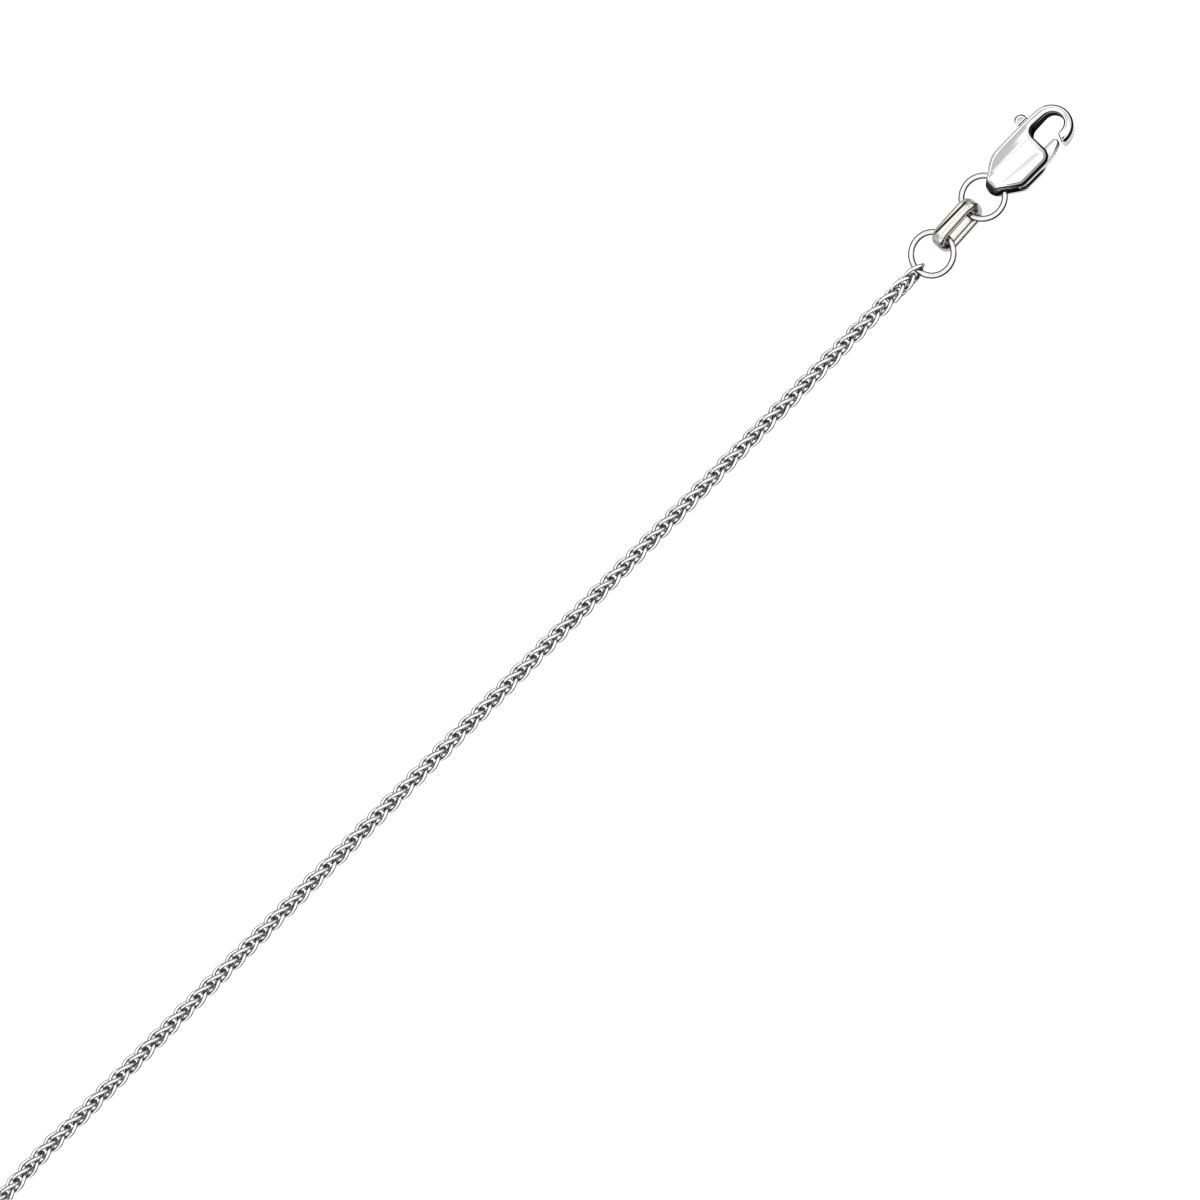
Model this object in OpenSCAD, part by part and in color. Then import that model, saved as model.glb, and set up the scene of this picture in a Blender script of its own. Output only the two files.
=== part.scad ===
// Wheat chain necklace, lying unfastened on a flat surface.
// The chain runs straight along X to its lobster clasp, and the rest of the
// loop takes the plain way round. The origin is under the middle of the part,
// on the surface that it lies on, with +Z up.

/* [Chain] */
// Width across the plaited chain
chain_d = 1.15; // [1.05:0.05:1.25]
// Width of the loop that the chain lies in, along its straight run
loop_w = 164; // [150:1:180]
// Depth of the loop, from the straight run to the chain's far side
loop_depth = 116.7; // [105:0.1:130]
// Wire of the link at each end of the chain
link_wire = 0.3; // [0.26:0.02:0.38]
// Length over the link at each end of the chain
end_link_len = 2.12; // [2:0.02:2.6]
// Free way that a jump ring has along its end link
end_link_play = 0.25; // [0.15:0.01:0.4]

/* [Jump rings] */
// Outer diameter of the jump rings
ring_d = 4.1; // [3.8:0.1:5]
// Wire of the jump rings
ring_wire = 0.5; // [0.4:0.02:0.54]
// How far the two front jump rings lean over, about the chain's line
ring_lean = 15; // [12:1:18]

/* [Connector link] */
// Length over the oval connector link
connector_len = 4.85; // [4.5:0.05:6]
// Width over the oval connector link
connector_w = 2.7; // [2.65:0.05:3]
// Width of the connector's band, seen along its hole
connector_band = 0.7; // [0.6:0.05:0.75]
// Depth of the connector's band
connector_depth = 1.3; // [1.1:0.05:1.4]
// Radius of the connector's corners, at the middle of its band
connector_corner = 0.9; // [0.7:0.05:0.95]
// How far the connector's hole plane stands up from the surface
connector_tilt = 55; // [50:1:60]
// How far the connector is turned off the chain's line
connector_turn = 3; // [0:0.5:4]

/* [Clasp body] */
// Width of the housing
clasp_w = 3.86; // [3.7:0.02:4.2]
// Thickness of the housing
clasp_t = 2.3; // [2.1:0.05:2.6]
// Rounding along the housing's edges
clasp_edge = 0.35; // [0.2:0.05:0.45]
// Length from the middle of the tail eye to the shoulder under the hook
housing_len = 4.6; // [4.5:0.05:5]
// Radius of the housing's rounded shoulder
shoulder_r = 0.95; // [0.6:0.05:1.1]
// Bore of the tail eye
eye_d = 1.1; // [1.06:0.02:1.2]
// Metal behind the tail eye
eye_wall = 0.5; // [0.4:0.05:0.7]
// Radius of the rounded tail, seen from the side
tail_r = 1.35; // [1.25:0.05:1.5]
// Width of the tail's end
tail_w = 0.7; // [0.6:0.05:1.1]
// Length of the tail's taper
tail_taper = 2.2; // [1.9:0.05:2.4]
// Wall along the housing's closed side
spine = 0.7; // [0.5:0.05:0.8]
// How far the clasp leans over, about the chain's line
clasp_lean = 19; // [15:1:22]

/* [Clasp hook] */
// Outer radius of the hook
hook_r = 1.85; // [1.75:0.05:1.95]
// Height of the hook above the shoulder
hook_rise = 3.55; // [3.4:0.05:3.8]
// Radius of the hook's mouth
mouth_r = 0.95; // [0.85:0.05:1]
// Width of the hook's band at its stem
stem_band = 0.85; // [0.7:0.05:0.95]
// Width of the hook's band at its top
crown_band = 0.65; // [0.55:0.05:0.8]
// Thickness of the hook at its top
hook_t = 1.1; // [0.9:0.05:1.3]

/* [Clasp lever] */
// Thickness of the lever
lever_t = 0.9; // [0.7:0.05:0.95]
// Clearance on each face of the lever
lever_play = 0.07; // [0.05:0.01:0.1]
// Height of the rivet above the tail eye
rivet_up = 2.45; // [2.3:0.05:2.6]
// How far the rivet lies off the clasp's middle, towards the gate
rivet_side = 0.55; // [0.4:0.05:0.6]
// Diameter of the rivet that the lever turns on
rivet_d = 0.5; // [0.4:0.02:0.6]
// Clearance round the rivet
rivet_play = 0.04; // [0.02:0.01:0.06]
// Radius of the lever's hub
hub_r = 0.8; // [0.6:0.05:0.85]
// Height of the gate above the shoulder
gate_rise = 1.27; // [1.1:0.01:1.4]
// How far the gate's outer side lies inside the housing's
gate_inset = 0.1; // [0.05:0.01:0.15]
// How far the gate's outer side has come in at the shoulder
gate_lean = 0.1; // [0:0.01:0.2]
// Radius of the gate's tip
gate_tip_r = 0.3; // [0.2:0.02:0.36]
// Gap between the gate's tip and the hook's tip
tip_gap = 0.2; // [0.1:0.02:0.3]
// Width of the arm that carries the thumb knob
arm_w = 0.75; // [0.6:0.05:0.9]
// Radius of the thumb knob
knob_r = 0.56; // [0.45:0.01:0.6]
// How far the knob's middle stands out from the housing's side
knob_out = 0.4; // [0.3:0.05:0.5]
// Height of the knob's middle above the shoulder
knob_up = 0.37; // [0.2:0.01:0.5]
// How far the lever opens
lever_open = 24; // [15:1:25]

/* [Hidden] */
$fn = 64;

// Clearances: round an end link, between a jump ring and the connector's end,
// above the surface, from a jump ring's wire to the chain, and how far forward
// of the eye's middle the wire rides
link_gap = 0.12;
seat_gap = 0.17;
rest_gap = 0.02;
chain_gap = 0.25;
eye_gap = 0.12;

// Places in the part's frame. What hangs on the chain's straight run lies a
// little to one side of it, and the clasp reaches past it by twice run_inset.
connector_x = 56;
run_inset = 1.35;
run_y = loop_depth / 2 - run_inset;
connector_y = run_y + 0.3;
chain_ring_y = run_y + 0.1;
clasp_ring_y = run_y + 0.4;
clasp_y = run_y + 0.35;

// Jump rings: radius at the middle of the wire, and how far the wire's middle
// lies from the connector's middle
ring_mid = (ring_d - ring_wire) / 2;
ring_seat = connector_len / 2 - connector_band - seat_gap - ring_wire / 2;

// Heights at which the rings are held: in the end links, the connector, and
// the clasp's tail eye
end_link_h = ring_wire + 2 * link_gap + 2 * link_wire;
end_link_z = rest_gap + end_link_h / 2;
connector_arm = (connector_w - connector_band) / 2;
connector_z = rest_gap + connector_arm * sin(connector_tilt)
    + (connector_depth - connector_band) / 2 * cos(connector_tilt) + connector_band / 2;
clasp_z = (clasp_w / 2 - clasp_edge) * sin(clasp_lean)
    + (clasp_t / 2 - clasp_edge) * cos(clasp_lean) + clasp_edge;

// How far each ring is pitched up along the chain's line
chain_ring_pitch = asin((connector_z - end_link_z) / (2 * ring_mid));
clasp_ring_pitch = asin((clasp_z - connector_z) / (2 * ring_mid));
end_ring_pitch = asin((end_link_z - ring_wire / 2) / (2 * ring_mid));

chain_ring_x = connector_x - ring_seat - ring_mid * cos(chain_ring_pitch);
clasp_ring_x = connector_x + ring_seat + ring_mid * cos(clasp_ring_pitch);
clasp_x = clasp_ring_x + ring_mid * cos(clasp_ring_pitch) - eye_gap;

// From the chain's end: the middle of the ring's wire, and the end link's tip
wire_reach = chain_gap + ring_wire / 2;
tip_reach = wire_reach + ring_wire / 2 + end_link_play + link_wire;
chain_start_x = chain_ring_x - ring_mid * cos(chain_ring_pitch) - wire_reach;

// The chain's route over the surface: the straight run from the clasp, and then
// the plain way round to the end ring, as shares of half the loop's width and
// of its depth
WAY_ROUND = [
    [-0.549, 0], [-0.646, 0], [-0.744, 0.009], [-0.848, 0.047], [-0.939, 0.129],
    [-1, 0.266], [-0.988, 0.454], [-0.878, 0.651], [-0.683, 0.827], [-0.378, 0.955],
    [-0.037, 1], [0.317, 0.964], [0.634, 0.84], [0.872, 0.643], [0.982, 0.437],
    [1, 0.266], [0.988, 0.12]];
CHAIN_ROUTE = [
    [chain_start_x, run_y],
    for (share = WAY_ROUND) [share[0] * loop_w / 2, run_y - share[1] * loop_depth]];
CHAIN_SIDES = 8;
// Most that the chain turns from one ring of the sweep to the next
SWEEP_TURN = 6;
last = len(CHAIN_ROUTE) - 1;

function heading(v) = atan2(v[1], v[0]);
function turn_between(a, b) = (heading(b) - heading(a) + 540) % 360 - 180;
function along(i) = CHAIN_ROUTE[min(i + 1, last)] - CHAIN_ROUTE[max(i - 1, 0)];
function tangent(i) = along(i) / norm(along(i));
function span(i) = norm(CHAIN_ROUTE[i + 1] - CHAIN_ROUTE[i]);
function span_steps(i) = max(1, ceil(abs(turn_between(tangent(i), tangent(i + 1))) / SWEEP_TURN));

// Point and direction on span i, at a share t of it, on a cubic curve
function route_point(i, t) =
    (2 * t ^ 3 - 3 * t ^ 2 + 1) * CHAIN_ROUTE[i]
    + (t ^ 3 - 2 * t ^ 2 + t) * span(i) * tangent(i)
    + (3 * t ^ 2 - 2 * t ^ 3) * CHAIN_ROUTE[i + 1]
    + (t ^ 3 - t ^ 2) * span(i) * tangent(i + 1);
function route_way(i, t) =
    (6 * t ^ 2 - 6 * t) * (CHAIN_ROUTE[i] - CHAIN_ROUTE[i + 1])
    + (3 * t ^ 2 - 4 * t + 1) * span(i) * tangent(i)
    + (3 * t ^ 2 - 2 * t) * span(i) * tangent(i + 1);
STATIONS = [
    for (i = [0 : last - 1], k = [0 : span_steps(i) - 1])
        [route_point(i, k / span_steps(i)), route_way(i, k / span_steps(i))],
    [CHAIN_ROUTE[last], tangent(last)]];

// Corner k of the chain's section at a station, with a flat side underneath
function chain_corner(station, k) =
    let (r = chain_d / 2 / cos(180 / CHAIN_SIDES),
         a = (k + 0.5) * 360 / CHAIN_SIDES,
         side = [station[1][1], -station[1][0]] / norm(station[1]),
         at = station[0] + side * r * cos(a))
    [at[0], at[1], chain_d / 2 + r * sin(a)];

// Clasp, in its own plan: the origin is the middle of the tail eye, with +Y
// towards the hook and +X towards the gate
clasp_half = clasp_w / 2;
hook_x = hook_r - clasp_half;
hook_y = housing_len + hook_rise - hook_r;
stem_x = stem_band - clasp_half;
mouth_x = stem_x + mouth_r;
mouth_y = housing_len + hook_rise - crown_band - mouth_r;
mouth_corner_r = 0.8 * mouth_r;
tail_end = -eye_d / 2 - eye_wall;
tail_y = tail_end + tail_r;
taper_y = tail_end + tail_taper;
slot_t = lever_t + 2 * lever_play;
// Direction of the slanting cut across the hook's tip
hook_cut = -25;

// Lever, in the clasp's plan
rivet_at = [rivet_side, rivet_up];
gate_tip = [stem_x + 2 * mouth_r + gate_tip_r, housing_len + gate_rise - gate_tip_r];
gate_side = clasp_half - gate_inset;
knob_at = [-clasp_half - knob_out, housing_len + knob_up];
knob_side = -clasp_half - lever_play;
arm_rest = heading(knob_at - rivet_at);

// Height of the knob's arm at a place across the clasp, along its upper side
// (1) or its lower one (-1), with the arm turned to an angle
function arm_y(x, side, angle) =
    rivet_up + (x - rivet_side) * tan(angle) - side * arm_w / 2 / cos(angle);

// Room for the lever's swing inside the housing, and through the stem
swing_gap = 0.2;
pocket_x = spine - clasp_half;
pocket_y = rivet_up - hub_r - swing_gap;
exit_y = [arm_y(pocket_x, -1, arm_rest + lever_open) - swing_gap,
          arm_y(-clasp_half, 1, arm_rest) + swing_gap];

module chain_tube() {
    count = len(STATIONS);
    polyhedron(
        points = [for (s = STATIONS, k = [0 : CHAIN_SIDES - 1]) chain_corner(s, k)],
        faces = [
            [for (k = [CHAIN_SIDES - 1 : -1 : 0]) k],
            for (s = [0 : count - 2], k = [0 : CHAIN_SIDES - 1])
                let (a = s * CHAIN_SIDES, n = (k + 1) % CHAIN_SIDES)
                [a + k, a + n, a + CHAIN_SIDES + n, a + CHAIN_SIDES + k],
            [for (k = [0 : CHAIN_SIDES - 1]) (count - 1) * CHAIN_SIDES + k]]);
}

// A closed loop of round wire in the XY plane, with half-round ends
module wire_loop(length, width, wire) {
    mid = (width - wire) / 2;
    straight = length - width;
    for (side = [-1, 1]) {
        translate([side * straight / 2, 0, 0]) rotate([0, 0, -90 * side])
            rotate_extrude(angle = 180) translate([mid, 0]) circle(d = wire);
        translate([0, side * mid, 0]) rotate([0, 90, 0])
            cylinder(d = wire, h = straight, center = true);
    }
}

// The end link stands on edge. Its origin is the chain's end, +X outwards.
module end_link(clear = 0) {
    translate([tip_reach - end_link_len / 2, 0, end_link_z]) rotate([90, 0, 0])
        wire_loop(end_link_len + 2 * clear, end_link_h + 2 * clear, link_wire + 2 * clear);
}

module at_front() {
    translate([chain_start_x, run_y, 0]) children();
}

module at_back() {
    end = CHAIN_ROUTE[last];
    translate([end[0], end[1], 0]) rotate([0, 0, heading(tangent(last))]) children();
}

module wheat_chain() {
    color("gainsboro") difference() {
        chain_tube();
        at_front() end_link(link_gap);
        at_back() end_link(link_gap);
    }
}

module front_end_link() {
    color("silver") at_front() end_link();
}

module back_end_link() {
    color("silver") at_back() end_link();
}

// A jump ring with its middle at the origin
module jump_ring() {
    rotate_extrude() translate([ring_mid, 0]) circle(d = ring_wire);
}

module chain_ring() {
    color("lightgray")
        translate([chain_ring_x, chain_ring_y, (end_link_z + connector_z) / 2])
        rotate([-ring_lean, -chain_ring_pitch, 0]) jump_ring();
}

module clasp_ring() {
    color("lightgray")
        translate([clasp_ring_x, clasp_ring_y, (connector_z + clasp_z) / 2])
        rotate([-ring_lean, -clasp_ring_pitch, 0]) jump_ring();
}

module end_ring() {
    reach = wire_reach + ring_mid * cos(end_ring_pitch);
    color("lightgray") at_back()
        translate([reach, 0, (end_link_z + ring_wire / 2) / 2])
        rotate([0, end_ring_pitch, 0]) jump_ring();
}

// The connector's band in section, with its inner and outer faces rounded
module connector_section() {
    for (side = [-1, 1])
        translate([0, side * (connector_depth - connector_band) / 2]) circle(d = connector_band);
    square([connector_band, connector_depth - connector_band], center = true);
}

module connector_link() {
    x = (connector_len - connector_band) / 2 - connector_corner;
    y = connector_arm - connector_corner;
    color("darkgray") translate([connector_x, connector_y, connector_z])
        rotate([connector_tilt, 0, connector_turn])
        for (side = [0, 180]) rotate([0, 0, side]) {
            translate([x, y, 0]) rotate_extrude(angle = 90)
                translate([connector_corner, 0]) connector_section();
            translate([x, -y, 0]) rotate([0, 0, -90]) rotate_extrude(angle = 90)
                translate([connector_corner, 0]) connector_section();
            translate([x + connector_corner, 0, 0]) rotate([90, 0, 0])
                linear_extrude(2 * y, center = true) connector_section();
            translate([0, connector_arm, 0]) rotate([0, 90, 0]) rotate([0, 0, 90])
                linear_extrude(2 * x, center = true) connector_section();
        }
}

module place_clasp() {
    translate([clasp_x, clasp_y, clasp_z]) rotate([-clasp_lean, 0, 0])
        rotate([0, 0, -90]) children();
}

// Outline of the housing: a straight body, one rounded shoulder, a tapered tail
module housing_plan() {
    translate([-clasp_half, taper_y])
        square([clasp_w - shoulder_r, housing_len - taper_y]);
    translate([-clasp_half, taper_y])
        square([clasp_w, housing_len - shoulder_r - taper_y]);
    translate([clasp_half - shoulder_r, housing_len - shoulder_r]) circle(shoulder_r);
    polygon([
        [-clasp_half, taper_y], [-tail_w / 2, tail_end],
        [tail_w / 2, tail_end], [clasp_half, taper_y]]);
}

// The housing's edges are rounded along its length
module housing_section() {
    for (x = [-1, 1], z = [-1, 1])
        translate([x * (clasp_half - clasp_edge), z * (clasp_t / 2 - clasp_edge)])
            circle(clasp_edge);
    square([clasp_w - 2 * clasp_edge, clasp_t], center = true);
    square([clasp_w, clasp_t - 2 * clasp_edge], center = true);
}

module edge_rounding() {
    rotate([90, 0, 0]) linear_extrude(4 * housing_len, center = true) housing_section();
}

module housing() {
    length = housing_len + hook_rise;
    intersection() {
        linear_extrude(clasp_t, center = true) housing_plan();
        edge_rounding();
        rotate([90, 0, 90]) linear_extrude(2 * clasp_w, center = true) {
            translate([tail_y, 0]) circle(tail_r);
            translate([tail_y, -clasp_t / 2]) square([length, clasp_t]);
        }
    }
}

// What the hook leaves open: its mouth, and the gate's way in under its tip
module mouth_plan() {
    way_in = gate_tip + (gate_tip_r + tip_gap) * [-sin(hook_cut), cos(hook_cut)];
    translate([mouth_x, mouth_y]) circle(mouth_r);
    translate([stem_x, housing_len + mouth_corner_r])
        square([2 * mouth_r, mouth_y - housing_len - mouth_corner_r]);
    translate([stem_x + mouth_corner_r, housing_len + mouth_corner_r]) circle(mouth_corner_r);
    translate([stem_x + mouth_corner_r, housing_len]) square([2 * mouth_r, mouth_corner_r * 2]);
    intersection() {
        translate(way_in) rotate(hook_cut) translate([-2 * hook_r, -4 * hook_r])
            square(4 * hook_r);
        translate([mouth_x, housing_len]) square(2 * hook_r);
    }
}

module hook_plan() {
    difference() {
        union() {
            translate([hook_x, hook_y]) circle(hook_r);
            translate([-clasp_half, housing_len - shoulder_r])
                square([hook_r, hook_y - housing_len + shoulder_r]);
        }
        mouth_plan();
        translate([stem_x + mouth_corner_r, 0]) square([2 * clasp_w, housing_len]);
    }
}

// The hook thins from the housing's thickness to its own at the top
module hook() {
    top = housing_len + hook_rise;
    intersection() {
        linear_extrude(clasp_t, center = true) hook_plan();
        edge_rounding();
        rotate([90, 0, 90]) linear_extrude(2 * clasp_w, center = true)
            polygon([
                [0, -clasp_t / 2], [housing_len, -clasp_t / 2], [top, -hook_t / 2],
                [top, hook_t / 2], [housing_len, clasp_t / 2], [0, clasp_t / 2]]);
    }
}

// The slot in which the lever swings, open along the gate's side and through
// the stem, where the knob's arm comes out
module lever_pocket() {
    linear_extrude(slot_t, center = true) {
        translate([pocket_x, pocket_y])
            square([2 * clasp_w, housing_len + swing_gap - pocket_y]);
        translate([-2 * clasp_w, exit_y[0]])
            square([2 * clasp_w + stem_x + mouth_corner_r, exit_y[1] - exit_y[0]]);
    }
}

module clasp_body() {
    color("silver") place_clasp() {
        difference() {
            union() {
                housing();
                hook();
            }
            lever_pocket();
            rotate([0, 90, 0]) cylinder(d = eye_d, h = 2 * clasp_w, center = true);
        }
        translate(rivet_at) cylinder(d = rivet_d, h = slot_t + clasp_edge, center = true);
    }
}

module lever_plan() {
    arm = knob_at - rivet_at;
    translate(rivet_at) circle(hub_r);
    translate(gate_tip) circle(gate_tip_r);
    polygon([
        rivet_at - [hub_r, 0], rivet_at - [0, hub_r], [gate_side, rivet_up - hub_r / 2],
        [gate_side, housing_len - shoulder_r], [gate_side - gate_lean, housing_len],
        gate_tip + [gate_tip_r, 0], gate_tip - [gate_tip_r, 0],
        [gate_tip[0] - gate_tip_r, housing_len - gate_lean]]);
    translate(rivet_at) rotate(heading(arm)) translate([0, -arm_w / 2]) square([norm(arm), arm_w]);
    intersection() {
        translate(knob_at) circle(knob_r);
        translate([knob_side - 4 * knob_r, 0]) square([4 * knob_r, 2 * housing_len]);
    }
}

module clasp_lever() {
    color("whitesmoke") place_clasp() difference() {
        linear_extrude(lever_t, center = true) lever_plan();
        translate(rivet_at)
            cylinder(d = rivet_d + 2 * rivet_play, h = 2 * lever_t, center = true);
    }
}

wheat_chain();
front_end_link();
back_end_link();
chain_ring();
connector_link();
clasp_ring();
clasp_body();
clasp_lever();
end_ring();
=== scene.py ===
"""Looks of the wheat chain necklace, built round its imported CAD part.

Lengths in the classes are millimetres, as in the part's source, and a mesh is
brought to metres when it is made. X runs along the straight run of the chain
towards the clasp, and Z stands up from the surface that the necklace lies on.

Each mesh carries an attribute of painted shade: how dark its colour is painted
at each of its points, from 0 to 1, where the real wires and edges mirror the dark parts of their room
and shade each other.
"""

from __future__ import annotations

import logging
import math
from dataclasses import dataclass, field
from enum import Enum
from typing import Any, Iterable, Sequence

import bmesh
import bpy
from mathutils import Matrix, Vector

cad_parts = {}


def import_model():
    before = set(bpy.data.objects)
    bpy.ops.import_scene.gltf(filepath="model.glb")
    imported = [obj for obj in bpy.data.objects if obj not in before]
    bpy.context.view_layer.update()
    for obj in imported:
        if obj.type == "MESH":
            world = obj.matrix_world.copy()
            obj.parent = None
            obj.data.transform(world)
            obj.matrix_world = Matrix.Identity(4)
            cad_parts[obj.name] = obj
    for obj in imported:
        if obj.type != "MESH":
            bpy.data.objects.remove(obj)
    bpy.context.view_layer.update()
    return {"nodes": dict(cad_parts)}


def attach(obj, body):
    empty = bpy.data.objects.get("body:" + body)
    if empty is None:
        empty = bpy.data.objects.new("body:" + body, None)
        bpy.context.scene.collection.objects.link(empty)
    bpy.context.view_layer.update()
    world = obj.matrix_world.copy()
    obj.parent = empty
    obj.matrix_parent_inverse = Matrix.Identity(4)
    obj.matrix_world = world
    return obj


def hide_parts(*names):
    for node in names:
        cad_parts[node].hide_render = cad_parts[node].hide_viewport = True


LOG = logging.getLogger("wheat_chain")
MM = 0.001
# Name of the mesh attribute that holds painted shade and dark reflections.
PAINTED_SHADE = "painted_shade"
# Degrees between the points of an arc, at most.
ARC_STEP = 9
# Degrees from which the edge between two faces stays sharp.
SHARP_ANGLE = 42.0
# How far a normal's upward part falls from a wire's bright top to its side, where painted shade
# darkens it.
SIDE_FADE = 0.25


class Body(Enum):
    """The bodies that pieces ride on."""

    NECKLACE = "necklace"
    LEVER = "clasp_lever"


class Slot(Enum):
    """The record's material slots."""

    CHAIN = "chain_metal"
    POLISHED = "polished_metal"
    SATIN = "satin_metal"


class Hand(Enum):
    """Which way a link of the plait is twisted."""

    LEFT = 1
    RIGHT = -1


class Value:
    """A number in a node graph. Arithmetic on it adds Math nodes."""

    def __init__(self, graph: Graph, socket: bpy.types.NodeSocket) -> None:
        """Keeps the graph and the socket that gives the number."""
        self.graph = graph
        self.socket = socket

    def _math(self, operation: str, *terms: Value | float) -> Value:
        """Adds one Math node.

        Args:
            operation: The Math node's operation.
            terms: Its inputs in order.

        Returns:
            The node's result.
        """
        node = self.graph.node(
            "ShaderNodeMath", {"operation": operation}, dict(enumerate(terms))
        )
        return Value(self.graph, node.outputs[0])

    def __add__(self, other: Value | float) -> Value:
        """Sum."""
        return self._math("ADD", self, other)

    __radd__ = __add__

    def __mul__(self, other: Value | float) -> Value:
        """Product."""
        return self._math("MULTIPLY", self, other)

    __rmul__ = __mul__

    def __sub__(self, other: Value | float) -> Value:
        """Difference."""
        return self._math("SUBTRACT", self, other)

    def __rsub__(self, other: float) -> Value:
        """Difference from a plain number."""
        return self._math("SUBTRACT", other, self)

    def __abs__(self) -> Value:
        """Size without its sign."""
        return self._math("ABSOLUTE", self)

    def clamped(self) -> Value:
        """The value held between 0 and 1."""
        return self._math("MINIMUM", self._math("MAXIMUM", self, 0.0), 1.0)


class Graph:
    """Adds nodes to one node tree."""

    def __init__(self, tree: bpy.types.NodeTree) -> None:
        """Empties the tree."""
        self.tree = tree
        tree.nodes.clear()

    def node(
        self,
        kind: str,
        settings: dict[str, Any] | None = None,
        inputs: dict[int | str, Any] | None = None,
    ) -> bpy.types.Node:
        """Adds one node.

        Args:
            kind: The node's type.
            settings: Its properties; "stops" gives a ramp's places and greys.
            inputs: A value or a link for each named or numbered socket.

        Returns:
            The node.
        """
        made = self.tree.nodes.new(kind)
        for name, setting in (settings or {}).items():
            if name == "stops":
                self._set_stops(made.color_ramp, setting)
            else:
                setattr(made, name, setting)
        for key, value in (inputs or {}).items():
            socket = made.inputs[key]
            if isinstance(value, Value):
                value = value.socket
            if isinstance(value, bpy.types.NodeSocket):
                self.tree.links.new(value, socket)
            else:
                socket.default_value = value
        return made

    @staticmethod
    def _set_stops(
        ramp: bpy.types.ColorRamp, stops: Sequence[tuple[float, float]]
    ) -> None:
        """Sets a ramp's stops.

        Args:
            ramp: The colour ramp.
            stops: Place and grey of each stop.
        """
        while len(ramp.elements) < len(stops):
            ramp.elements.new(1.0)
        for element, (place, grey) in zip(ramp.elements, stops):
            element.position = place
            element.color = (grey, grey, grey, 1.0)

    def number(self, node: bpy.types.Node, output: int | str = 0) -> Value:
        """A node's output as a value."""
        return Value(self, node.outputs[output])

    def noise(self, vector: bpy.types.NodeSocket, scale: float, detail: float) -> Value:
        """Adds a noise pattern.

        Args:
            vector: Where the pattern is read.
            scale: Its scale, in patterns a metre.
            detail: Number of finer layers.

        Returns:
            The pattern's value, about 0.5 on average.
        """
        made = self.node(
            "ShaderNodeTexNoise", {}, {"Vector": vector, "Scale": scale, "Detail": detail}
        )
        return self.number(made)


@dataclass(frozen=True)
class PaintedDarkLine:
    """A soft painted dark line along X over a surface, standing in for a dark reflection.

    Attributes:
        middle: X and Y of its middle.
        half_length: Half its length.
        half_width: Half its width.
        strength: How dark its middle is, from 0 to 1.
        slope: How steeply its sides darken; over 1, its middle is even.
        end_fade: Length over which each end fades.
    """

    middle: tuple[float, float]
    half_length: float
    half_width: float
    strength: float
    slope: float = 1.5
    end_fade: float = 0.5

    def share(self, graph: Graph, place: bpy.types.NodeSocket) -> Value:
        """How dark the line is at a place.

        Args:
            graph: The material's graph.
            place: The place, in metres.

        Returns:
            A number from 0 to the line's strength.
        """
        parts = graph.node("ShaderNodeSeparateXYZ", {}, {0: place})
        along = abs(graph.number(parts, "X") - self.middle[0] * MM)
        across = abs(graph.number(parts, "Y") - self.middle[1] * MM)
        inside = (self.slope - across * (self.slope / (self.half_width * MM))).clamped()
        ends = ((self.half_length * MM - along) * (1 / (self.end_fade * MM))).clamped()
        return inside * ends * self.strength


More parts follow.
